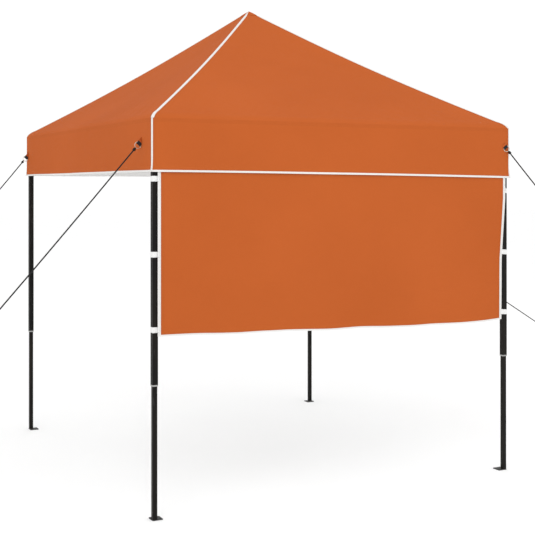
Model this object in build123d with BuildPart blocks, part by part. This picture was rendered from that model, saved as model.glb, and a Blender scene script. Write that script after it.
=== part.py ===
"""Square pop-up shelter with a folding scissor frame, a pyramid canopy and one half wall.

Origin: on the ground under the middle of the four legs. +Z is up, the half wall is on the -Y side.
"""
from build123d import *
import math
import os

# Driving dimensions, in millimetres
LEG_SPACING = 2400.0
PEAK_HEIGHT = 2992.0
EAVE_HEIGHT = 2169.0
HEM_HEIGHT = 1878.0
CANOPY_HALF = 1225.0
FABRIC = 2.0
ROOF_SLOPE_FACTOR = 1.25
SHOULDER_INSET = 50.0
SHOULDER_RISE = 42.0
HIP_SAG = 24.0
HIP_SHARES = (0.3, 0.5, 0.7, 1.0)
PEAK_HALF = 22.0

TUBE = 32.0
TUBE_WALL = 1.5
TUBE_CORNER = 2.0
LOWER_TUBE = 26.0
LOWER_TUBE_CORNER = 1.8
UPPER_TUBE_END = 730.0
UPPER_TUBE_TOP = 2120.0
LOWER_TUBE_TOP = 900.0
COLLAR_DROP = 8.0
COLLAR_PLUG = 30.0
GLIDE_GAP = 0.3
PRESS_GAP = 0.1
FOOT_THICKNESS = 4.0
FOOT_OUT = 15.0
FOOT_IN = 47.0
FOOT_CORNER = 6.0
PEG_HOLE_RADIUS = 5.0
PEG_HOLE_INSET = 36.0

HIGH_PIVOT = 2105.0
LOW_PIVOT = 1935.0
LEG_LUG = 38.0
MIDDLE_LUG = 30.0
BAR_HEIGHT = 20.0
BAR_THICKNESS = 8.0
BAR_WALL = 1.0
BAR_END = 10.0
LAYER_GAP = 2.0
BRACKET_HALF = 19.0
BRACKET_LOW = 20.0
BRACKET_HIGH = 23.0
BRACKET_CORNER = 3.0
LUG_RADIUS = 8.0
LUG_THICKNESS = 6.5
LUG_CLEARANCE = 0.5
PIN_RADIUS = 3.0
PIN_CLEARANCE = 0.05
HEAD_RADIUS = 5.5
HEAD_HEIGHT = 1.2
HEAD_GAP = 0.3
HUB_HALF = 22.0
HUB_HEIGHT = 40.0
HUB_CORNER = 4.0
POLE_RADIUS = 12.0
CAP_RADIUS = 18.0
CAP_HEIGHT = 30.0

SLIDER_LOW = 36.0
SLIDER_HIGH = 20.0
BUTTON_RADIUS = 4.0
BUTTON_LENGTH = 14.0
BUTTON_DROP = 27.0
BUTTON_TRAVEL = 3.0
BUTTON_EDGE = 1.0
BOSS_OUT = 31.0
BOSS_HALF = 7.0

WALL_PLANE = 1221.2
WALL_TOP = 2080.0
WALL_THICKNESS = 2.4
WALL_LEFT = -1189.0
WALL_BOTTOM_LEFT = 991.0
WALL_BOTTOM_POINTS = ((0.0, 964.0), (712.0, 947.0))
WALL_RIGHT_EDGE = ((1165.0, 961.0), (1168.0, 1340.0), (1197.0, 1720.0), (1200.0, WALL_TOP))

RING_RADIUS = 18.0
RING_WIRE = 2.0
TAB_LENGTH = 34.0
TAB_WIDTH = 28.0
TAB_THICKNESS = 5.0
CORD_DIAMETER = 8.0
CORD_GAP = 0.4

SPAN = LEG_SPACING / 2
HALF_TUBE = TUBE / 2
# How far a cut runs past a face, and how far a lug or boss is rooted in its body.
OVERRUN = 1.0

os.makedirs("parts", exist_ok=True)


def save(builder, name):
    """Label one finished piece and write it."""
    builder.part.label = name
    export_step(builder.part, f"parts/{name}.step")
    print(f"{name}: volume {builder.part.volume / 1000:.1f} cm3")


# Each side looks from outside: x runs along the side, y is up and z points outward.
SIDES = {
    "front": Plane(origin=(0, -SPAN, 0), x_dir=(1, 0, 0), z_dir=(0, -1, 0)),
    "right": Plane(origin=(SPAN, 0, 0), x_dir=(0, 1, 0), z_dir=(1, 0, 0)),
    "back": Plane(origin=(0, SPAN, 0), x_dir=(-1, 0, 0), z_dir=(0, 1, 0)),
    "left": Plane(origin=(-SPAN, 0, 0), x_dir=(0, -1, 0), z_dir=(-1, 0, 0)),
}
# The corner where each side begins, and the side that ends there.
CORNERS = {
    "front_left": ("front", "left", -1, -1),
    "front_right": ("right", "front", 1, -1),
    "back_right": ("back", "right", 1, 1),
    "back_left": ("left", "back", -1, 1),
}


def box_on(plane, low, high, mode=Mode.ADD):
    """A box given by its lowest and highest corners in a plane's own axes."""
    centre = [(a + b) / 2 for a, b in zip(low, high)]
    size = [b - a for a, b in zip(low, high)]
    with BuildSketch(plane.offset(centre[2] - size[2] / 2)) as profile:
        with Locations((centre[0], centre[1])):
            Rectangle(size[0], size[1])
    extrude(profile.sketch, amount=size[2], mode=mode)


def post_on(plane, half, low, high, mode=Mode.ADD):
    """A square post along the plane's z axis, given by half its width."""
    box_on(plane, (-half, -half, low), (half, half, high), mode)


def rod_on(plane, point, radius, low, high, mode=Mode.ADD):
    """A round rod along the plane's z axis, from low to high."""
    with BuildSketch(plane.offset(low)) as profile:
        with Locations(point):
            Circle(radius)
    extrude(profile.sketch, amount=high - low, mode=mode)


def pin_on(plane, point, side, root):
    """A riveted pin that stands on a lug or bar and carries one bar: side is +1 or -1."""
    tip = LAYER_GAP + BAR_THICKNESS + HEAD_GAP
    ends = sorted((side * root, side * (tip + HEAD_HEIGHT)))
    rod_on(plane, point, PIN_RADIUS, ends[0], ends[1])
    head = sorted((side * tip, side * (tip + HEAD_HEIGHT)))
    rod_on(plane, point, HEAD_RADIUS, head[0], head[1])


def bar(name, plane, start, end, side, crossing=None):
    """A scissor bar of flat tube between two pivots, on the outer (+1) or inner (-1) layer."""
    length = math.dist(start, end) + 2 * BAR_END
    angle = math.degrees(math.atan2(end[1] - start[1], end[0] - start[0]))
    middle = ((start[0] + end[0]) / 2, (start[1] + end[1]) / 2)
    faces = sorted((side * LAYER_GAP, side * (LAYER_GAP + BAR_THICKNESS)))
    with BuildPart() as piece:
        with BuildSketch(plane.offset(faces[0])):
            with Locations(middle):
                Rectangle(length, BAR_HEIGHT, rotation=angle)
        extrude(amount=BAR_THICKNESS)
        with BuildSketch(plane.offset(faces[0] + BAR_WALL)):
            with Locations(middle):
                Rectangle(length + 2 * OVERRUN, BAR_HEIGHT - 2 * BAR_WALL, rotation=angle)
        extrude(amount=BAR_THICKNESS - 2 * BAR_WALL, mode=Mode.SUBTRACT)
        holes = [start, end]
        if crossing == "hole":
            holes.append(middle)
        for point in holes:
            low = faces[0] - OVERRUN
            high = faces[1] + OVERRUN
            rod_on(plane, point, PIN_RADIUS + PIN_CLEARANCE, low, high, Mode.SUBTRACT)
        if crossing == "pin":
            rod_on(plane, middle, HEAD_RADIUS, -LAYER_GAP - BAR_WALL, LAYER_GAP - HEAD_GAP)
            pin_on(plane, middle, 1, -LAYER_GAP - BAR_THICKNESS)
    save(piece, name)


def lug_on(plane, pivot, base, side):
    """A plate from base along x to the pivot, with a pin for the bar on the given layer."""
    near = LAYER_GAP - LUG_CLEARANCE
    far = near - LUG_THICKNESS
    faces = sorted((side * near, side * far))
    reach = math.copysign(LUG_RADIUS, pivot[0] - base)
    across = sorted((base, pivot[0] + reach))
    low_corner = (across[0], pivot[1] - LUG_RADIUS, faces[0])
    high_corner = (across[1], pivot[1] + LUG_RADIUS, faces[1])
    box_on(plane, low_corner, high_corner)
    pin_on(plane, pivot, side, far)


def arm_plane(side):
    """The upright plane through the middle of a side: x points outward, y is up."""
    outward = SIDES[side].z_dir
    along = SIDES[side].x_dir
    return Plane(origin=(0, 0, 0), x_dir=outward, z_dir=-along)


# Scissor bars and the brackets at the middle of each side
corner_pivot = SPAN - LEG_LUG
for side_name, side_plane in SIDES.items():
    for number, hand in ((1, -1), (2, 1)):
        high_middle = (hand * MIDDLE_LUG, HIGH_PIVOT)
        low_middle = (hand * MIDDLE_LUG, LOW_PIVOT)
        high_corner = (hand * corner_pivot, HIGH_PIVOT)
        low_corner = (hand * corner_pivot, LOW_PIVOT)
        bar(f"{side_name}_rising_bar_{number}", side_plane, low_corner, high_middle, 1, "hole")
        bar(f"{side_name}_falling_bar_{number}", side_plane, high_corner, low_middle, -1, "pin")

    arm = arm_plane(side_name)
    with BuildPart() as middle_top:
        for hand in (-1, 1):
            lug_on(side_plane, (hand * MIDDLE_LUG, HIGH_PIVOT), 0, 1)
        lug_on(arm, (SPAN - MIDDLE_LUG, HIGH_PIVOT), SPAN - LAYER_GAP, 1)
    save(middle_top, f"{side_name}_middle_top_bracket")

    with BuildPart() as middle_low:
        for hand in (-1, 1):
            lug_on(side_plane, (hand * MIDDLE_LUG, LOW_PIVOT), 0, -1)
    save(middle_low, f"{side_name}_middle_low_bracket")

    bar(f"{side_name}_inner_bar", arm, (LEG_LUG, LOW_PIVOT), (SPAN - MIDDLE_LUG, HIGH_PIVOT), 1)

# Hub under the peak
with BuildPart() as hub:
    post_on(Plane.XY, HUB_HALF, LOW_PIVOT - HUB_HEIGHT / 2, LOW_PIVOT + HUB_HEIGHT / 2)
    fillet(hub.edges().filter_by(Axis.Z), HUB_CORNER)
    for side_name in SIDES:
        lug_on(arm_plane(side_name), (LEG_LUG, LOW_PIVOT), 0, 1)
save(hub, "peak_hub")

# Peak pole with its rounded cap as a second solid
pole_low = LOW_PIVOT + HUB_HEIGHT / 2
pole_high = PEAK_HEIGHT - 2 * CAP_HEIGHT
with BuildPart() as pole:
    with BuildSketch(Plane.XY.offset(pole_low)):
        Circle(POLE_RADIUS)
        Circle(POLE_RADIUS - TUBE_WALL, mode=Mode.SUBTRACT)
    extrude(amount=pole_high - pole_low)
    with BuildSketch(Plane.XY.offset(pole_high)):
        Circle(CAP_RADIUS)
    extrude(amount=CAP_HEIGHT)
    fillet(pole.edges().filter_by(GeomType.CIRCLE).sort_by(Axis.Z)[-1], CAP_RADIUS / 2)
save(pole, "peak_pole")

# Legs: upper tube, top bracket and end collar, slider, lower tube and foot
root = SPAN - BRACKET_HALF + OVERRUN
for corner_name, (begins, ends, sign_x, sign_y) in CORNERS.items():
    leg_x = sign_x * SPAN
    leg_y = sign_y * SPAN
    leg_plane = Plane(origin=(leg_x, leg_y, 0))

    with BuildPart() as upper:
        post_on(leg_plane, HALF_TUBE, UPPER_TUBE_END, UPPER_TUBE_TOP)
        fillet(upper.edges().filter_by(Axis.Z), TUBE_CORNER)
        bore = HALF_TUBE - TUBE_WALL
        post_on(leg_plane, bore, UPPER_TUBE_END - OVERRUN, UPPER_TUBE_TOP + OVERRUN, Mode.SUBTRACT)
    save(upper, f"{corner_name}_upper_tube")

    with BuildPart() as fittings:
        bracket_low = HIGH_PIVOT - BRACKET_LOW
        post_on(leg_plane, BRACKET_HALF, bracket_low, HIGH_PIVOT + BRACKET_HIGH)
        fillet(fittings.edges().filter_by(Axis.Z), BRACKET_CORNER)
        sleeve = HALF_TUBE + PRESS_GAP
        post_on(leg_plane, sleeve, bracket_low - OVERRUN, UPPER_TUBE_TOP + PRESS_GAP, Mode.SUBTRACT)
        lug_on(SIDES[begins], (-corner_pivot, HIGH_PIVOT), -root, -1)
        lug_on(SIDES[ends], (corner_pivot, HIGH_PIVOT), root, -1)
        collar_low = UPPER_TUBE_END - COLLAR_DROP
        collar_high = UPPER_TUBE_END + COLLAR_PLUG
        post_on(leg_plane, HALF_TUBE, collar_low, UPPER_TUBE_END - PRESS_GAP)
        plug = HALF_TUBE - TUBE_WALL - PRESS_GAP
        post_on(leg_plane, plug, UPPER_TUBE_END - OVERRUN, collar_high)
        glide = LOWER_TUBE / 2 + GLIDE_GAP
        post_on(leg_plane, glide, collar_low - OVERRUN, collar_high + OVERRUN, Mode.SUBTRACT)
    save(fittings, f"{corner_name}_leg_fittings")

    button_origin = (leg_x, leg_y, LOW_PIVOT - BUTTON_DROP)
    button_plane = Plane(origin=button_origin, x_dir=(0, 0, 1), z_dir=SIDES[begins].x_dir)
    with BuildPart() as slider:
        slider_low = LOW_PIVOT - SLIDER_LOW
        slider_high = LOW_PIVOT + SLIDER_HIGH
        post_on(leg_plane, BRACKET_HALF, slider_low, slider_high)
        fillet(slider.edges().filter_by(Axis.Z), BRACKET_CORNER)
        lug_on(SIDES[begins], (-corner_pivot, LOW_PIVOT), -root, 1)
        lug_on(SIDES[ends], (corner_pivot, LOW_PIVOT), root, 1)
        boss_root = BRACKET_HALF - OVERRUN
        post_on(button_plane, BOSS_HALF, boss_root, BOSS_OUT)
        hole = BUTTON_RADIUS + PIN_CLEARANCE
        rod_on(button_plane, (0, 0), hole, boss_root - OVERRUN, BOSS_OUT + OVERRUN, Mode.SUBTRACT)
        bore = HALF_TUBE + GLIDE_GAP
        post_on(leg_plane, bore, slider_low - OVERRUN, slider_high + OVERRUN, Mode.SUBTRACT)
    save(slider, f"{corner_name}_slider")

    with BuildPart() as button:
        button_end = BOSS_OUT + BUTTON_TRAVEL + BUTTON_EDGE
        rod_on(button_plane, (0, 0), BUTTON_RADIUS, button_end - BUTTON_LENGTH, button_end)
        rims = button.edges().filter_by(GeomType.CIRCLE)
        outer_rim = rims.sort_by(Axis(button_plane.origin, button_plane.z_dir))[-1]
        fillet(outer_rim, BUTTON_EDGE)
    save(button, f"{corner_name}_lock_button")

    with BuildPart() as lower:
        half = LOWER_TUBE / 2
        post_on(leg_plane, half, FOOT_THICKNESS, LOWER_TUBE_TOP)
        fillet(lower.edges().filter_by(Axis.Z), LOWER_TUBE_CORNER)
        bore = half - TUBE_WALL
        post_on(leg_plane, bore, FOOT_THICKNESS - OVERRUN, LOWER_TUBE_TOP + OVERRUN, Mode.SUBTRACT)
    save(lower, f"{corner_name}_lower_tube")

    with BuildPart() as foot:
        span_x = sorted((sign_x * FOOT_OUT, -sign_x * FOOT_IN))
        span_y = sorted((sign_y * FOOT_OUT, -sign_y * FOOT_IN))
        box_on(leg_plane, (span_x[0], span_y[0], 0), (span_x[1], span_y[1], FOOT_THICKNESS))
        fillet(foot.edges().filter_by(Axis.Z), FOOT_CORNER)
        for hole in ((-sign_x * PEG_HOLE_INSET, 0), (0, -sign_y * PEG_HOLE_INSET)):
            rod_on(leg_plane, hole, PEG_HOLE_RADIUS, -OVERRUN, FOOT_THICKNESS + OVERRUN, Mode.SUBTRACT)
    save(foot, f"{corner_name}_foot")


# Canopy: a sewn shell of four roof faces and a straight valance, open below
def canopy_sections(inset):
    """Half-widths and heights of the canopy's level sections; the hips sag between their ends."""
    shoulder = CANOPY_HALF - SHOULDER_INSET
    shoulder_z = EAVE_HEIGHT + SHOULDER_RISE
    sections = [(CANOPY_HALF, HEM_HEIGHT), (CANOPY_HALF, EAVE_HEIGHT), (shoulder, shoulder_z)]
    for share in HIP_SHARES:
        half = shoulder + (PEAK_HALF - shoulder) * share
        sag = HIP_SAG * math.sin(math.pi * share)
        sections.append((half, shoulder_z + (PEAK_HEIGHT - shoulder_z) * share - sag))
    return [(half - inset, height - ROOF_SLOPE_FACTOR * inset) for half, height in sections]


# Guy lines: the tab's place on the valance, and the end of the line
GUYS = {
    "front_left": ((-CANOPY_HALF, -1080, 2051), (-2092, -1080, 1076)),
    "front_right": ((1180, -CANOPY_HALF, 2065), (1427, -1300, 1756)),
    "back_right": ((CANOPY_HALF, 1190, 1945), (3424, 820, 530)),
    "back_left": ((-CANOPY_HALF, 1188, 2032), (-1499, 1188, 1709)),
}


def pull_plane(place, end):
    """The upright plane of a guy line, from the tab's place on the valance: x runs down the line."""
    run = Vector(*end) - Vector(*place)
    return Plane(origin=place, x_dir=run, z_dir=run.cross(Vector(0, 0, 1)))


with BuildPart() as canopy:
    for half, height in canopy_sections(0):
        with BuildSketch(Plane.XY.offset(height)):
            Rectangle(2 * half, 2 * half)
    loft(ruled=True)
    for place, end in GUYS.values():
        pull = pull_plane(place, end)
        tab_root = (-TAB_LENGTH / 2, -TAB_WIDTH / 2, -TAB_THICKNESS / 2)
        tab_tip = (TAB_LENGTH, TAB_WIDTH / 2, TAB_THICKNESS / 2)
        box_on(pull, tab_root, tab_tip)
        with Locations(pull.location * Location((TAB_LENGTH, 0, 0))):
            Torus(RING_RADIUS, RING_WIRE)
    for half, height in canopy_sections(FABRIC):
        with BuildSketch(Plane.XY.offset(height)):
            Rectangle(2 * half, 2 * half)
    loft(ruled=True, mode=Mode.SUBTRACT)
save(canopy, "canopy")

for corner_name, (place, end) in GUYS.items():
    pull = pull_plane(place, end)
    knot = TAB_LENGTH + RING_RADIUS + RING_WIRE + CORD_GAP
    start = pull.from_local_coords(Vector(knot, 0, 0))
    length = (Vector(*end) - start).length
    with BuildPart() as guy:
        with BuildSketch(Plane(origin=start, z_dir=pull.x_dir)):
            Circle(CORD_DIAMETER / 2)
        extrude(amount=length)
    save(guy, f"{corner_name}_guy_line")
    print(f"  length {length:.0f} mm, from {start} to {end}")

# Half wall on the front, hung in front of the legs from under the roof
wall_plane = SIDES["front"].offset(WALL_PLANE - SPAN)
with BuildPart() as wall:
    with BuildSketch(wall_plane.offset(-WALL_THICKNESS / 2)):
        with BuildLine():
            bottom_left = (WALL_LEFT, WALL_BOTTOM_LEFT)
            top_left = (WALL_LEFT, WALL_TOP)
            Spline(bottom_left, *WALL_BOTTOM_POINTS, WALL_RIGHT_EDGE[0])
            Polyline(*WALL_RIGHT_EDGE, top_left, bottom_left)
        make_face()
    extrude(amount=WALL_THICKNESS)
save(wall, "front_wall")
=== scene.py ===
"""Looks of the pop-up shelter: canopy, half wall, straps, rings and guy lines around the CAD frame."""
import math

import bmesh
import bpy
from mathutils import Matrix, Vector, noise


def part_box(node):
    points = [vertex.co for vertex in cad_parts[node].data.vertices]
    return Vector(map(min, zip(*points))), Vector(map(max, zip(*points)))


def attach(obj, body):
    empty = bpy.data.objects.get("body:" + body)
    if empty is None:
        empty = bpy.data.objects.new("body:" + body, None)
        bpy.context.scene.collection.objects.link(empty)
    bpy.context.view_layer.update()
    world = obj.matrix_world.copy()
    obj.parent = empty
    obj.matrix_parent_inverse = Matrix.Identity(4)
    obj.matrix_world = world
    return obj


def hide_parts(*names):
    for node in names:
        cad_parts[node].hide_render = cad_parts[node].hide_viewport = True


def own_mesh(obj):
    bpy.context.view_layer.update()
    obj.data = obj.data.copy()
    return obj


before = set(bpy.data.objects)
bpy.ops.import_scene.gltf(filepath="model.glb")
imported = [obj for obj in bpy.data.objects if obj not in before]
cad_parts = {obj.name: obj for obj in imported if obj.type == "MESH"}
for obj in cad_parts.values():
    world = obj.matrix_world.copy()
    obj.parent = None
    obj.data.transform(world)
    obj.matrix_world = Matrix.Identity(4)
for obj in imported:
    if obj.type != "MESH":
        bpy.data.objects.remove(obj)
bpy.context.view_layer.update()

# Sizes in metres, read from the frame where the frame holds them
CANOPY_LOW, CANOPY_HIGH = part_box("canopy")
HALF = CANOPY_HIGH.y
HEM = CANOPY_LOW.z
PEAK = CANOPY_HIGH.z
VALANCE_HEIGHT = 0.291
EAVE = HEM + VALANCE_HEIGHT
SHOULDER_HALF = HALF - 0.050
SHOULDER_Z = EAVE + 0.042
SHOULDER_BEND_IN = 0.012
SHOULDER_BEND_UP = 0.026
PEAK_HALF = 0.022
HIP_SAG = 0.024
FACE_SAG = 0.016
HIP_STIFF = 0.16
CORNER_STIFF = 0.12
FABRIC = 0.0016
TAPE_RAISE = 0.0016
TAPE_STEP = 0.0006
HIP_RAISE = 0.0034
HIP_TAPE = 0.013
APEX_TAPE_SHARE = 0.2
CORNER_TAPE = 0.006
HEM_TAPE = 0.011
HEM_DROP = 0.025
WALL_HEM = 0.010
EDGE_TAPE = 0.018
LEG = 1.2
TUBE_HALF = 0.016
WALL_LOW, WALL_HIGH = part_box("front_wall")
WALL_Y = (WALL_LOW.y + WALL_HIGH.y) / 2
PATCH_HALF = 0.045
PATCH_LIFT = 0.0022
PATCH_RISE = 0.62

SIDES = {
    "front": (Vector((0, -1, 0)), Vector((1, 0, 0))),
    "right": (Vector((1, 0, 0)), Vector((0, 1, 0))),
    "back": (Vector((0, 1, 0)), Vector((-1, 0, 0))),
    "left": (Vector((-1, 0, 0)), Vector((0, -1, 0))),
}
# Each corner with the signs of its x and y
CORNERS = {
    "front_left": (-1, -1),
    "front_right": (1, -1),
    "back_right": (1, 1),
    "back_left": (-1, 1),
}


# ---------------------------------------------------------------- materials
class Nodes:
    """A small helper that adds shader nodes and links them."""

    def __init__(self, name):
        self.material = bpy.data.materials.new(name)
        self.material.use_nodes = True
        self.tree = self.material.node_tree
        self.shader = self.tree.nodes["Principled BSDF"]
        self.place = self.add("ShaderNodeTexCoord").outputs["Object"]

    def add(self, kind, **values):
        node = self.tree.nodes.new(kind)
        for key, value in values.items():
            if hasattr(node, key):
                setattr(node, key, value)
            else:
                node.inputs[key.replace("_", " ").title()].default_value = value
        return node

    def link(self, output, target):
        self.tree.links.new(output, target)

    def noise(self, scale, detail=4.0, stretch=(1, 1, 1)):
        mapping = self.add("ShaderNodeMapping")
        mapping.inputs["Scale"].default_value = stretch
        self.link(self.place, mapping.inputs["Vector"])
        node = self.add("ShaderNodeTexNoise", Scale=scale, Detail=detail)
        self.link(mapping.outputs["Vector"], node.inputs["Vector"])
        return node.outputs["Fac"]

    def math(self, operation, first, second=0.0, third=0.0):
        node = self.add("ShaderNodeMath", operation=operation)
        for socket, value in zip(node.inputs, (first, second, third)):
            if isinstance(value, (int, float)):
                socket.default_value = value
            else:
                self.link(value, socket)
        return node.outputs["Value"]

    def ramp(self, factor, low, high, start, end):
        """Map a factor between two places of a colour ramp to two colours."""
        node = self.add("ShaderNodeValToRGB")
        node.color_ramp.elements[0].position = start
        node.color_ramp.elements[0].color = (*low, 1)
        node.color_ramp.elements[1].position = end
        node.color_ramp.elements[1].color = (*high, 1)
        self.link(factor, node.inputs["Fac"])
        return node.outputs["Color"]

    def mix(self, factor, first, second, blend="MIX"):
        node = self.add("ShaderNodeMix", data_type="RGBA", blend_type=blend)
        for socket, value in ((node.inputs[0], factor), (node.inputs[6], first), (node.inputs[7], second)):
            if isinstance(value, (int, float)):
                socket.default_value = value
            elif isinstance(value, tuple):
                socket.default_value = (*value, 1)
            else:
                self.link(value, socket)
        return node.outputs[2]

    def bump(self, height, distance, strength=1.0, below=None):
        node = self.add("ShaderNodeBump", Strength=strength, Distance=distance)
        self.link(height, node.inputs["Height"])
        if below is not None:
            self.link(below, node.inputs["Normal"])
        return node.outputs["Normal"]

    def finish(self, colour, roughness, normal, metallic=0.0, sheen=0.0, specular=0.5):
        self.link(colour, self.shader.inputs["Base Color"])
        if isinstance(roughness, (int, float)):
            self.shader.inputs["Roughness"].default_value = roughness
        else:
            self.link(roughness, self.shader.inputs["Roughness"])
        self.link(normal, self.shader.inputs["Normal"])
        self.shader.inputs["Metallic"].default_value = metallic
        self.shader.inputs["Sheen Weight"].default_value = sheen
        self.shader.inputs["Specular IOR Level"].default_value = specular
        return self.material


def axis_of(nodes, axis):
    """One coordinate of the row frame, in metres."""
    split = nodes.add("ShaderNodeSeparateXYZ")
    nodes.link(nodes.place, split.inputs["Vector"])
    return split.outputs[axis]


def weave_height(nodes, pitch):
    """The crossing threads of a plain weave, as a height from -1 to 1 for any upright or sloped face."""
    along = nodes.math("ADD", axis_of(nodes, "X"), axis_of(nodes, "Y"))
    warp = nodes.math("SINE", nodes.math("MULTIPLY", along, 2 * math.pi / pitch))
    weft = nodes.math("SINE", nodes.math("MULTIPLY", axis_of(nodes, "Z"), 2 * math.pi / pitch))
    return nodes.math("MULTIPLY", warp, weft)


def cloth(name, colour, shade, pitch, seams=(), sheen=0.0, roughness=0.84, specular=0.06):
    """Coated woven cloth with colour drift, fine wrinkles and rows of stitches at the given heights, each
    row with a narrow band of painted shade along it.
    """
    nodes = Nodes(name)
    drift = nodes.ramp(nodes.noise(1.4, 5.0), colour, shade, 0.35, 0.8)
    weave = weave_height(nodes, pitch)
    thread = nodes.math("MULTIPLY_ADD", weave, 0.035, 1.0)
    fleck = nodes.math("MULTIPLY_ADD", nodes.noise(240.0, 2.0), 0.10, 0.95)
    tone = nodes.math("MULTIPLY", thread, fleck)
    grey = nodes.add("ShaderNodeCombineColor")
    for channel in range(3):
        nodes.link(tone, grey.inputs[channel])
    result = nodes.mix(1.0, drift, grey.outputs[0], "MULTIPLY")
    # Painted shade: a narrow darker band along each stitched seam, in place of a modelled seam ridge
    shadow = tuple(0.45 * c for c in colour)
    thread_colour = tuple(min(1, 1.25 * c) for c in colour)
    for level in seams:
        away = nodes.math("ABSOLUTE", nodes.math("SUBTRACT", axis_of(nodes, "Z"), level))
        row = nodes.math("LESS_THAN", away, 0.0011)
        along = nodes.math("ADD", axis_of(nodes, "X"), axis_of(nodes, "Y"))
        dash = nodes.math("GREATER_THAN", nodes.math("SINE", nodes.math("MULTIPLY", along, 900.0)), -0.45)
        stitch = nodes.math("MULTIPLY", row, dash)
        seam_shade_band = nodes.math("LESS_THAN", away, 0.0035)
        result = nodes.mix(nodes.math("MULTIPLY", seam_shade_band, 0.22), result, shadow)
        result = nodes.mix(nodes.math("MULTIPLY", stitch, 0.75), result, thread_colour)
    fine = nodes.bump(weave, 0.00025, 0.5)
    creases = nodes.bump(nodes.noise(5.0, 6.0, (1, 1, 1.6)), 0.012, 0.35, fine)
    folds = nodes.bump(nodes.noise(1.6, 3.0, (1, 1, 2.5)), 0.03, 0.3, creases)
    rough = nodes.math("MULTIPLY_ADD", nodes.noise(30.0, 3.0), 0.16, roughness - 0.08)
    return nodes.finish(result, rough, folds, sheen=sheen, specular=specular)


def metal(name, colour, tint, roughness, metallic=0.0, speck=0.02, specular=0.5):
    """Powder-coated or plated metal with a faint orange peel, dust and small scuffs."""
    nodes = Nodes(name)
    base = nodes.ramp(nodes.noise(9.0, 6.0, (1, 1, 0.25)), colour, tint, 0.4, 0.7)
    scuff = nodes.math("GREATER_THAN", nodes.noise(70.0, 8.0, (1, 1, 0.12)), 0.69)
    base = nodes.mix(nodes.math("MULTIPLY", scuff, 0.35), base, tuple(min(1, c + 0.05) for c in colour))
    rough = nodes.math("MULTIPLY_ADD", nodes.noise(45.0, 4.0), 0.25, roughness - 0.1)
    peel = nodes.bump(nodes.noise(900.0, 2.0), 0.0002, speck * 10)
    return nodes.finish(base, rough, peel, metallic=metallic, specular=specular)


def plastic(name, colour, roughness=0.5):
    """Moulded plastic with a fine spark-eroded grain."""
    nodes = Nodes(name)
    paler = tuple(min(1, c * 1.5 + 0.01) for c in colour)
    base = nodes.ramp(nodes.noise(14.0, 5.0), colour, paler, 0.35, 0.75)
    rough = nodes.math("MULTIPLY_ADD", nodes.noise(60.0, 3.0), 0.2, roughness - 0.1)
    grain = nodes.bump(nodes.noise(1500.0, 2.0), 0.00015, 0.5)
    return nodes.finish(base, rough, grain)


def fittings_plastic(name):
    """Black bracket plastic above, light grey for the collar at the end of the tube."""
    nodes = Nodes(name)
    low = nodes.math("LESS_THAN", axis_of(nodes, "Z"), 1.4)
    dark = nodes.ramp(nodes.noise(14.0, 5.0), (0.018, 0.018, 0.02), (0.04, 0.04, 0.042), 0.35, 0.75)
    pale = nodes.ramp(nodes.noise(20.0, 5.0), (0.34, 0.34, 0.33), (0.26, 0.26, 0.25), 0.35, 0.75)
    rough = nodes.math("MULTIPLY_ADD", nodes.noise(60.0, 3.0), 0.2, 0.4)
    grain = nodes.bump(nodes.noise(1500.0, 2.0), 0.00015, 0.5)
    return nodes.finish(nodes.mix(low, dark, pale), rough, grain)


def braid(name, colour, pitch):
    """Braided cord: crossing diagonal strands."""
    nodes = Nodes(name)
    total = nodes.math("ADD", axis_of(nodes, "X"), axis_of(nodes, "Y"))
    rising = nodes.math("ADD", total, axis_of(nodes, "Z"))
    falling = nodes.math("SUBTRACT", total, axis_of(nodes, "Z"))
    upward = nodes.math("SINE", nodes.math("MULTIPLY", rising, pitch))
    downward = nodes.math("SINE", nodes.math("MULTIPLY", falling, pitch))
    strands = nodes.math("MULTIPLY", upward, downward)
    base = nodes.ramp(nodes.math("MULTIPLY_ADD", strands, 0.5, 0.5), colour,
                      tuple(min(1, c * 2.2 + 0.01) for c in colour), 0.2, 0.9)
    rough = nodes.math("MULTIPLY_ADD", nodes.noise(80.0, 2.0), 0.15, 0.7)
    return nodes.finish(base, rough, nodes.bump(strands, 0.0006, 0.8), specular=0.2)


ORANGE = (0.484, 0.108, 0.024)
ORANGE_SHADE = (0.448, 0.098, 0.021)
M_ORANGE = cloth("orange_oxford", ORANGE, ORANGE_SHADE, 0.0014, (EAVE - 0.004, EAVE - 0.016))
M_WALL = cloth("orange_wall", ORANGE, ORANGE_SHADE, 0.0014)
M_INSIDE = cloth("pale_lining", (0.88, 0.87, 0.86), (0.82, 0.81, 0.80), 0.0014)
M_TAPE = cloth("pale_tape", (0.76, 0.75, 0.73), (0.68, 0.67, 0.65), 0.0022, roughness=0.6, specular=0.3)
M_WEB = cloth("black_webbing", (0.018, 0.018, 0.02), (0.035, 0.035, 0.037), 0.0024, sheen=0.1)
M_STRAP = cloth("white_strap", (0.80, 0.80, 0.79), (0.74, 0.74, 0.73), 0.0020)
M_PAINT = metal("black_powder_coat", (0.0055, 0.0050, 0.0046), (0.011, 0.0088, 0.0068), 0.46, specular=0.12)
M_FOOT = metal("black_foot_plate", (0.026, 0.026, 0.027), (0.05, 0.046, 0.042), 0.55, specular=0.25)
M_RING = metal("nickel_ring", (0.66, 0.62, 0.54), (0.50, 0.46, 0.40), 0.32, metallic=0.9)
M_PLASTIC = plastic("black_moulding", (0.018, 0.018, 0.02))
M_BUTTON = plastic("grey_button", (0.32, 0.32, 0.33))
M_FITTINGS = fittings_plastic("leg_fitting_plastic")
M_CORD = braid("dark_cord", (0.010, 0.009, 0.009), 1500.0)


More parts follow.
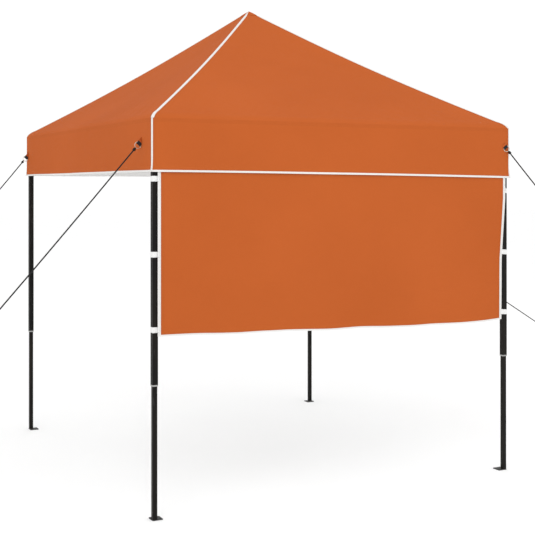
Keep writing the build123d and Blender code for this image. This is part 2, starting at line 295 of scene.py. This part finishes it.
# ---------------------------------------------------------------- mesh helpers
def mesh_piece(name, verts, faces, materials, face_material=None, smooth=True):
    """A mesh object in the row frame."""
    mesh = bpy.data.meshes.new(name)
    mesh.from_pydata([tuple(v) for v in verts], [], faces)
    for material in materials:
        mesh.materials.append(material)
    for index, polygon in enumerate(mesh.polygons):
        polygon.use_smooth = smooth
        if face_material is not None:
            polygon.material_index = face_material[index]
    piece = bpy.data.objects.new(name, mesh)
    bpy.context.scene.collection.objects.link(piece)
    return piece


def grid_piece(name, columns, rows, point, outward, kind, materials):
    """A sheet over columns and rows. point gives a place, kind the material index of the cell."""
    verts = [point(c, r) for r in rows for c in columns]
    width = len(columns)
    faces = []
    marks = []
    for j in range(len(rows) - 1):
        for i in range(width - 1):
            a = j * width + i
            faces.append((a, a + 1, a + 1 + width, a + width))
            marks.append(kind(i, j))
    first = faces[len(faces) // 3]
    normal = (verts[first[1]] - verts[first[0]]).cross(verts[first[3]] - verts[first[0]])
    if normal.dot(outward) < 0:
        faces = [tuple(reversed(f)) for f in faces]
    return mesh_piece(name, verts, faces, materials, marks)


def thicken(piece, thickness, inner=1):
    """Give a sheet its real thickness, with the inner material slots on the inner side."""
    uses = {}
    for polygon in piece.data.polygons:
        for key in polygon.edge_keys:
            uses[key] = uses.get(key, 0) + 1
    for edge in piece.data.edges:
        edge.use_edge_sharp = uses[edge.key] == 1
    modifier = piece.modifiers.new("thickness", "SOLIDIFY")
    modifier.thickness = thickness
    modifier.offset = -1
    modifier.material_offset = inner
    modifier.use_rim = True


def weld(piece, distance):
    """Join the points of a mesh that lie on each other."""
    mesh = bmesh.new()
    mesh.from_mesh(piece.data)
    bmesh.ops.remove_doubles(mesh, verts=mesh.verts, dist=distance)
    mesh.to_mesh(piece.data)
    mesh.free()


def ripple(place, size):
    """Smooth repeatable noise from -1 to 1."""
    return noise.noise(Vector(place) / size)


# ---------------------------------------------------------------- canopy
def shoulder_levels():
    """The rounded turn from the valance to the roof: half-width and height of each level."""
    start = Vector((HALF, EAVE))
    bend = Vector((HALF - SHOULDER_BEND_IN, EAVE + SHOULDER_BEND_UP))
    end = Vector((SHOULDER_HALF, SHOULDER_Z))
    for step in range(7):
        t = step / 6
        yield start * (1 - t) ** 2 + bend * 2 * t * (1 - t) + end * t * t


def roof_level(share):
    """Half-width and height of the roof between the shoulder and the peak."""
    half = SHOULDER_HALF + (PEAK_HALF - SHOULDER_HALF) * share
    sag = HIP_SAG * math.sin(math.pi * share)
    return Vector((half, SHOULDER_Z + (PEAK - SHOULDER_Z) * share - sag))


ROOF_ROWS = 44
LEVELS = [*shoulder_levels(), *(roof_level(k / ROOF_ROWS) for k in range(1, ROOF_ROWS + 1))]
SLOPE = math.atan2(PEAK - SHOULDER_Z, SHOULDER_HALF - PEAK_HALF)
FABRIC_SLOTS = [M_ORANGE, M_INSIDE, M_TAPE, M_INSIDE]


def across_shares(tape, half, count):
    """Distances in from the corner: the tape, its step down, then even steps to the middle."""
    start = tape + TAPE_STEP
    return [0.0, tape, *(start + (half - start) * k / count for k in range(count + 1))]


def roof_half(side, hand, number):
    """Half of one roof face, from the hip to the middle of the side, riding on its scissor bar."""
    outward, along = SIDES[side]
    normal = (outward * math.sin(SLOPE) + Vector((0, 0, 1)) * math.cos(SLOPE)).normalized()
    count = 40

    def point(column, level):
        half, z = level
        tape = min(HIP_TAPE, half * APEX_TAPE_SHARE)
        inset = across_shares(tape, half, count)[column]
        place = outward * half + along * hand * (half - inset) + Vector((0, 0, z))
        height = (z - EAVE) / (PEAK - EAVE)
        from_hip = min(1.0, inset / HIP_STIFF)
        middle = math.cos(math.pi * (half - inset) / max(2 * half, 0.05))
        belly = math.sin(math.pi * min(1, max(0, height))) * middle
        shift = -FACE_SAG * belly * (1 - 0.35 * height)
        wave = 0.0035 * ripple(place, 0.5) + 0.0018 * ripple(place + outward * 9, 0.17)
        pull = 0.0022 * math.sin(inset * 60.0 + 3.0 * ripple(place, 0.8)) * max(0.0, 1 - height * 4)
        place += normal * (shift * from_hip + (wave + pull) * from_hip * min(1.0, height * 12))
        if column < 2:
            rise = HIP_RAISE if column == 0 else TAPE_RAISE
            place += Vector((0, 0, 1)) * rise + outward * rise * 0.4
            if column == 0:
                place += along * hand * rise * 0.4
        return place

    columns = range(count + 3)
    piece = grid_piece(f"roof_{side}_{number}", columns, LEVELS, point, normal,
                       lambda i, j: 2 if i == 0 else 0, FABRIC_SLOTS)
    thicken(piece, FABRIC)
    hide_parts("canopy")
    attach(piece, f"{side}_falling_{number}")
    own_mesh(piece)


def hem_drop(place):
    """How far the hem hangs below level: most at the front right corner, as in the photo."""
    share = max(0.0, (place.x + HALF) / (2 * HALF))
    fade = min(1.0, max(0.0, 1 - (place.y + HALF) / (1.5 * HALF)))
    return HEM_DROP * share ** 1.6 * fade ** 1.5


def valance_half(side, hand, number):
    """Half of one side of the valance, from the corner seam to the middle."""
    outward, along = SIDES[side]
    count = 46
    insets = across_shares(CORNER_TAPE, HALF, count)
    body = [HEM + HEM_TAPE + TAPE_STEP + (EAVE - HEM - HEM_TAPE - TAPE_STEP) * k / 14 for k in range(15)]
    rows = [HEM, HEM + HEM_TAPE, *body]

    def point(inset, z):
        place = outward * HALF + along * hand * (HALF - inset) + Vector((0, 0, z))
        drop = (EAVE - z) / (EAVE - HEM)
        fade = min(1.0, inset / CORNER_STIFF)
        swing = 0.5 + 0.5 * ripple(place + Vector((3, 5, 0)), 0.33)
        place += outward * (0.007 * swing * drop * fade)
        place.z += 0.0025 * ripple(place, 0.6) * drop * fade - hem_drop(place) * drop
        raised = inset <= CORNER_TAPE or z <= HEM + HEM_TAPE
        if raised:
            place += outward * TAPE_RAISE
        if inset == 0.0:
            place += along * hand * TAPE_RAISE
        if inset <= CORNER_TAPE and drop > 0.7:
            share = 1 if inset == 0 else 0.6
            place += (along * hand * 0.008 + outward * 0.002) * ((drop - 0.7) / 0.3) ** 2 * share
        return place

    piece = grid_piece(f"valance_{side}_{number}", insets, rows, point, outward,
                       lambda i, j: 2 if i == 0 or j == 0 else 0, FABRIC_SLOTS)
    thicken(piece, FABRIC)
    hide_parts("canopy")
    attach(piece, f"{side}_falling_{number}")
    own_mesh(piece)


def peak_patch():
    """The small doubled patch over the pole, which stays on the pole when the frame folds."""
    rows = 10
    steps = 8
    verts, faces, marks = [], [], []
    for outward, along in SIDES.values():
        base = len(verts)
        for row in range(rows + 1):
            half = PATCH_HALF * (1 - row / rows)
            share = (SHOULDER_HALF - max(half, PEAK_HALF)) / (SHOULDER_HALF - PEAK_HALF)
            z = roof_level(share).y + PATCH_LIFT + PATCH_RISE * max(0.0, PEAK_HALF - half)
            tape = min(HIP_TAPE, half * APEX_TAPE_SHARE)
            insets = [0.0, tape, *(tape + 2 * (half - tape) * k / steps for k in range(1, steps)),
                      2 * half - tape, 2 * half]
            width = len(insets)
            for k, inset in enumerate(insets):
                raised = TAPE_RAISE if row == rows or k in (0, 1, width - 2, width - 1) else 0.0
                verts.append(outward * half + along * (half - inset) + Vector((0, 0, z + raised)))
        for row in range(rows):
            for k in range(width - 1):
                a = base + row * width + k
                faces.append((a + 1, a, a + width, a + width + 1))
                marks.append(2 if k in (0, width - 2) else 0)
    piece = mesh_piece("peak_patch", verts, faces, FABRIC_SLOTS, marks)
    weld(piece, 0.0002)
    thicken(piece, FABRIC)
    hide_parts("canopy")
    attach(piece, "peak")
    width, length = 2 * PATCH_HALF, 2 * PATCH_HALF / math.cos(SLOPE)


for side_name in SIDES:
    for hand_sign, bar_number in ((-1, 1), (1, 2)):
        roof_half(side_name, hand_sign, bar_number)
        valance_half(side_name, hand_sign, bar_number)
peak_patch()


# ---------------------------------------------------------------- half wall and its straps
WALL_LEFT = WALL_LOW.x
WALL_RIGHT = 1.165
WALL_BOTTOM_LEFT = 0.991
WALL_FALL = 0.053
WALL_LIFT = 0.022
WALL_LIFT_START = 0.80
EDGE_STIFF = 0.06
EDGE_STEP = 0.0004
# The right edge widens from the bottom to the lap under the valance: height and place
WALL_RIGHT_EDGE = ((0.90, 1.165), (1.34, 1.168), (1.72, 1.197), (WALL_HIGH.z, WALL_HIGH.x))


def wall_right(z):
    """The place of the right edge at a height."""
    for (low, start), (high, end) in zip(WALL_RIGHT_EDGE, WALL_RIGHT_EDGE[1:]):
        if z <= high:
            return start + (end - start) * max(0.0, (z - low) / (high - low))
    return end


def wall_bottom(x):
    """The bottom edge runs down to the right, lifts again near the leg and hangs in small waves."""
    share = (x - WALL_LEFT) / (WALL_RIGHT - WALL_LEFT)
    lift = WALL_LIFT * max(0.0, (share - WALL_LIFT_START) / 0.20) ** 1.5
    waves = 0.0022 * math.sin(x * 11.0) + 0.002 * ripple((x, 0, 0), 0.18)
    return WALL_BOTTOM_LEFT - WALL_FALL * share + lift + waves


def build_wall():
    """The half wall as one hanging sheet with taped edges."""
    count = 80
    tape_share = EDGE_TAPE / (WALL_RIGHT - WALL_LEFT)
    cloth_share = 1 - 2 * tape_share - 2 * EDGE_STEP
    inner = [tape_share + EDGE_STEP + cloth_share * k / count for k in range(count + 1)]
    shares = [0.0, tape_share, *inner, 1 - tape_share, 1.0]
    hem_share = WALL_HEM / (WALL_HIGH.z - WALL_LOW.z)
    rows = [hem_share + EDGE_STEP + (1 - hem_share - EDGE_STEP) * k / 44 for k in range(45)]
    levels = [0.0, hem_share, *rows]

    def point(share, level):
        x_low = WALL_LEFT + (WALL_RIGHT - WALL_LEFT) * share
        bottom = wall_bottom(x_low)
        z = bottom + (WALL_HIGH.z - bottom) * level
        x = WALL_LEFT + (wall_right(z) - WALL_LEFT) * share
        free = min(1.0, max(0.0, (HEM - 0.02 - z) / 0.25))
        edge = min(1.0, share / EDGE_STIFF, (1 - share) / EDGE_STIFF)
        hang = 0.5 + 0.5 * ripple((x, 0, z * 0.3), 0.42)
        fine = 0.5 + 0.5 * ripple((x, 4, z * 0.5), 0.16)
        y = WALL_Y - free * (0.010 * hang * edge + 0.003 * fine * edge)
        if share <= tape_share or share >= 1 - tape_share or level <= hem_share:
            y -= TAPE_RAISE
        return Vector((x, y, z))

    last = len(shares) - 2
    piece = grid_piece("half_wall", shares, levels, point, Vector((0, -1, 0)),
                       lambda i, j: 2 if i in (0, last) or j == 0 else 0,
                       [M_WALL, M_INSIDE, M_TAPE, M_INSIDE])
    thicken(piece, FABRIC)
    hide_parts("front_wall")
    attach(piece, "front_middle_top")
    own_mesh(piece)


def wall_strap(corner, number, z, tilt):
    """A flat strap sewn to the wall's edge that goes round the leg and back."""
    sign_x, sign_y = CORNERS[corner]
    edge = WALL_LEFT if sign_x < 0 else wall_right(z)
    reach = TUBE_HALF + 0.0012
    leg = Vector((sign_x * LEG, sign_y * LEG, 0))
    ahead = WALL_Y - 0.0026
    behind = WALL_Y + 0.0024
    inner_face = leg.x - sign_x * reach
    path = [Vector((edge - sign_x * 0.010, ahead, 0)), Vector((edge, ahead, 0))]
    turn = 0.004
    # From the front of the tube round its outer corners to the back and the inner face
    for dx, dy, first, steps in ((-1, -1, 270, 1), (1, -1, 270, 4), (1, 1, 0, 4), (-1, 1, 90, 4)):
        for step in range(steps):
            angle = math.radians(first + 30 * step)
            local_x = dx * (reach - turn) + turn * math.cos(angle)
            local_y = dy * (reach - turn) + turn * math.sin(angle)
            path.append(leg + Vector((local_x * sign_x, local_y, 0)))
    path.append(Vector((inner_face, behind, 0)))
    path.append(Vector((inner_face - sign_x * 0.012, behind, 0)))
    run = [0.0]
    for a, b in zip(path, path[1:]):
        run.append(run[-1] + (b - a).length)
    heights = [z - 0.0155 + 0.031 * k / 6 for k in range(7)]

    def point(index, height):
        lift = tilt * (1 - min(1.0, 3 * min(run[index], run[-1] - run[index]) / run[-1]))
        return path[index] + Vector((0, 0, height + lift))

    piece = grid_piece(f"{corner}_wall_strap_{number}", range(len(path)), heights, point,
                       Vector((0, -1, 0)), lambda i, j: 0, [M_STRAP])
    modifier = piece.modifiers.new("thickness", "SOLIDIFY")
    modifier.thickness = 0.0012
    modifier.offset = 0
    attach(piece, f"{corner}_leg")


STRAPS = {"front_left": ((1.841, 0.0), (1.432, 0.0), (1.026, 0.0)),
          "front_right": ((1.769, 0.022), (1.383, 0.004), (1.003, 0.004))}
build_wall()
for corner_name, places in STRAPS.items():
    for index, (height, lean) in enumerate(places, 1):
        wall_strap(corner_name, index, height, lean)


# ---------------------------------------------------------------- rings and guy lines
def ring_piece(name, centre, direction, sideways, radius, wire):
    """A round wire ring that lies in the plane of two directions."""
    verts = []
    faces = []
    around, section = 40, 12
    normal = direction.cross(sideways).normalized()
    for i in range(around):
        a = 2 * math.pi * i / around
        radial = direction * math.cos(a) + sideways * math.sin(a)
        for j in range(section):
            b = 2 * math.pi * j / section
            verts.append(centre + radial * (radius + wire * math.cos(b)) + normal * wire * math.sin(b))
    for i in range(around):
        for j in range(section):
            here, ahead, turned = i * section, ((i + 1) % around) * section, (j + 1) % section
            faces.append((here + j, ahead + j, ahead + turned, here + turned))
    return mesh_piece(name, verts, faces, [M_RING])


def tab_piece(name, place, direction, across, normal):
    """A webbing tab round the ring's wire, on a gusset of canopy cloth sewn upright to the valance."""
    bend = 0.0028
    facing = Vector((math.copysign(1, place.x), 0, 0))
    if abs(place.y) > abs(place.x):
        facing = Vector((0, math.copysign(1, place.y), 0))
    lean = direction.dot(facing)
    slant = -across.dot(facing) / lean if lean > 0.3 else 0.0
    path = [(stage, 0.0, bend) for stage in (0, 1, 2)]
    for step in range(1, 8):
        angle = math.pi * (0.5 - step / 8)
        path.append((2, bend * math.cos(angle), bend * math.sin(angle)))
    path += [(stage, 0.0, -bend) for stage in (2, 1, 0)]
    columns = [TAB_WIDTH * (k / 10 - 0.5) for k in range(11)]

    def point(column, row):
        stage, beyond, offset = path[row]
        root = slant * column
        reach = (root, max(root + 0.002, GUSSET), TAB_REACH)[stage] + beyond
        return place + across * column + direction * reach + normal * offset

    last = len(path) - 2
    piece = grid_piece(name, columns, range(len(path)), point, normal,
                       lambda i, j: 1 if j in (0, last) else 0, [M_WEB, M_ORANGE])
    modifier = piece.modifiers.new("thickness", "SOLIDIFY")
    modifier.thickness = 0.0014
    modifier.offset = 0
    return piece


def tube_along(name, points, radius, material, closed=False):
    """A smooth round tube through given points."""
    curve = bpy.data.curves.new(name, "CURVE")
    curve.dimensions = "3D"
    curve.bevel_depth = radius
    curve.bevel_resolution = 4
    curve.resolution_u = 12
    curve.use_fill_caps = True
    spline = curve.splines.new("NURBS")
    spline.points.add(len(points) - 1)
    for control, place in zip(spline.points, points):
        control.co = (*place, 1)
    spline.order_u = 3
    spline.use_endpoint_u = not closed
    spline.use_cyclic_u = closed
    curve.materials.append(material)
    piece = bpy.data.objects.new(name, curve)
    bpy.context.scene.collection.objects.link(piece)
    return piece


# Where each line's tab is sewn to the valance, and the end of the line
LINES = {
    "front_left": ((-HALF, -1.080, 2.051), (-2.092, -1.080, 1.076)),
    "front_right": ((1.180, -HALF, 2.065), (1.427, -1.300, 1.756)),
    "back_right": ((HALF, 1.190, 1.945), (3.424, 0.820, 0.530)),
    "back_left": ((-HALF, 1.188, 2.032), (-1.499, 1.188, 1.709)),
}
CORD_DIAMETER = 0.008
CORD_GAP = 0.0004
RING_RADIUS = 0.018
RING_WIRE = 0.002
TAB_LENGTH = 0.034
TAB_REACH = 0.029
TAB_WIDTH = 0.028
GUSSET = 0.012


def guy_line(corner, place, end):
    """One guy line with its ring, tab, knots and the eye at its far end."""
    place, end = Vector(place), Vector(end)
    direction = (end - place).normalized()
    normal = direction.cross(Vector((0, 0, 1))).normalized()
    across = normal.cross(direction)
    centre = place + direction * TAB_LENGTH
    start = centre + direction * (RING_RADIUS + RING_WIRE + CORD_GAP)
    run = end - start
    ring = ring_piece(f"{corner}_guy_ring", centre, direction, across, RING_RADIUS, RING_WIRE)
    tab = tab_piece(f"{corner}_guy_tab", place, direction, across, normal)
    for piece, slot_name in ((ring, "ring_metal"), (tab, "canopy_fabric")):
        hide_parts("canopy")
        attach(piece, f"{corner}_leg")

    sag = Vector((0, 0, -min(0.008, 0.004 * run.length)))
    points = [start, start + run * 0.06, start + run * 0.33 + sag * 0.8, start + run * 0.66 + sag * 0.8,
              start + run * 0.94, end]
    line = tube_along(f"{corner}_guy_cord", points, CORD_DIAMETER / 2, M_CORD)
    side = direction.cross(Vector((0, 0, 1))).normalized()
    lift = side.cross(direction).normalized()
    turns = []
    count = 26
    for k in range(count):
        angle = 2 * math.pi * k * 3.0 / count
        turns.append(end - direction * (0.004 + 0.014 * (1 - k / count))
                     + (side * math.cos(angle) + lift * math.sin(angle)) * 0.0066)
    knot = tube_along(f"{corner}_guy_knot", turns, CORD_DIAMETER * 0.45, M_CORD)
    loop = []
    for k in range(16):
        angle = 2 * math.pi * k / 16
        loop.append(end + direction * (0.030 - 0.030 * math.cos(angle)) + side * 0.017 * math.sin(angle))
    eye = tube_along(f"{corner}_guy_eye", loop, CORD_DIAMETER * 0.45, M_CORD, closed=True)
    wraps = []
    for k in range(20):
        angle = 2 * math.pi * k * 2.5 / 20
        wraps.append(start + direction * (0.006 + 0.012 * k / 20)
                     + (side * math.cos(angle) + lift * math.sin(angle)) * 0.0062)
    hitch = tube_along(f"{corner}_guy_hitch", wraps, CORD_DIAMETER * 0.42, M_CORD)
    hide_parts(f"{corner}_guy_line")
    for piece in (line, knot, eye, hitch):
        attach(piece, f"{corner}_leg")


for corner_name, (tab_place, line_end) in LINES.items():
    guy_line(corner_name, tab_place, line_end)


# ---------------------------------------------------------------- finish of the CAD frame
def material_for(node):
    """The finish of a CAD node, from its name."""
    for word, material in (("foot", M_FOOT), ("button", M_BUTTON), ("fittings", M_FITTINGS),
                           ("slider", M_PLASTIC), ("bracket", M_PLASTIC), ("hub", M_PLASTIC)):
        if word in node:
            return material
    return M_PAINT


for node_name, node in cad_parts.items():
    node.data.materials.clear()
    node.data.materials.append(material_for(node_name))


# ---------------------------------------------------------------- floor, light and camera
def build_stage():
    """A plain pale floor, a soft sky and two large soft lamps."""
    nodes = Nodes("pale_floor")
    colour = nodes.ramp(nodes.noise(0.8, 3.0), (0.97, 0.97, 0.97), (0.955, 0.955, 0.955), 0.3, 0.7)
    floor_material = nodes.finish(colour, 0.9, nodes.bump(nodes.noise(30.0), 0.0005, 0.2))
    half = 60.0
    corners = ((-half, -half, 0), (half, -half, 0), (half, half, 0), (-half, half, 0))
    floor = mesh_piece("floor", corners, [(0, 1, 2, 3)], [floor_material], smooth=False)
    world = bpy.data.worlds.new("soft_sky")
    world.use_nodes = True
    world.node_tree.nodes["Background"].inputs["Color"].default_value = (1.0, 1.0, 1.0, 1)
    world.node_tree.nodes["Background"].inputs["Strength"].default_value = 1.04
    bpy.context.scene.world = world
    for name, place, size, power in (("key_lamp", (-5.5, -7.5, 7.5), 6.0, 230.0),
                                     ("fill_lamp", (7.0, -4.0, 6.0), 6.0, 90.0)):
        lamp = bpy.data.lights.new(name, "AREA")
        lamp.size = size
        lamp.energy = power
        holder = bpy.data.objects.new(name, lamp)
        holder.location = place
        holder.rotation_euler = (Vector((0, 0, 1.6)) - Vector(place)).to_track_quat("-Z", "Y").to_euler()
        bpy.context.scene.collection.objects.link(holder)


def build_camera():
    """Eye height and level, about seven metres off the front left corner, with the frame shifted down."""
    data = bpy.data.cameras.new("camera")
    data.sensor_width = 36.0
    data.lens = 71.5
    data.shift_x = 0.1036
    data.shift_y = -0.1542
    data.clip_end = 200.0
    camera = bpy.data.objects.new("camera", data)
    camera.location = (-3.389, -6.509, 1.795)
    heading = Vector((0.4308, 0.9024, 0.0021))
    camera.rotation_euler = heading.to_track_quat("-Z", "Y").to_euler()
    bpy.context.scene.collection.objects.link(camera)
    bpy.context.scene.camera = camera


build_stage()
build_camera()
bpy.context.scene.view_settings.view_transform = "Standard"
